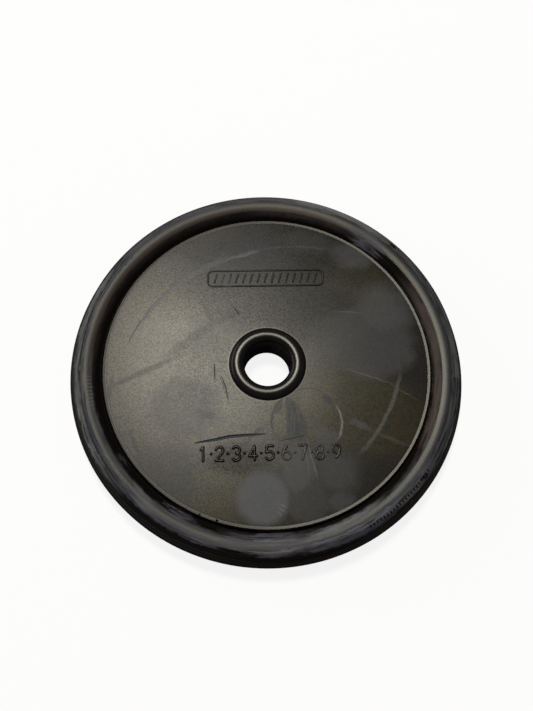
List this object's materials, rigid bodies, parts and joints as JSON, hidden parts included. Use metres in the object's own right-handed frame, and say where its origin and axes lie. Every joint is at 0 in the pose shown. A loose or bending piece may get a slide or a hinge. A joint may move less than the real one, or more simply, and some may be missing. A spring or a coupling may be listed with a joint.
{
  "type": "pump diaphragm",
  "caption": "Round moulded rubber diaphragm with a beaded rim, a groove round a flat web, and a central bore with a sealing lip and a hub.",
  "frame": {"origin": "centre of the bore at the flat foot of the hub", "axes": "+Z along the bore axis, from the hub foot towards the lipped face; +X along the line of figures on the face"},
  "size_m": [0.127, 0.127, 0.0126],
  "materials": {
    "rubber": "satin moulded rubber, scuffed on the face and the rim"
  },
  "bodies": {
    "root": {"diaphragm": "rubber"}
  },
  "joints": []
}
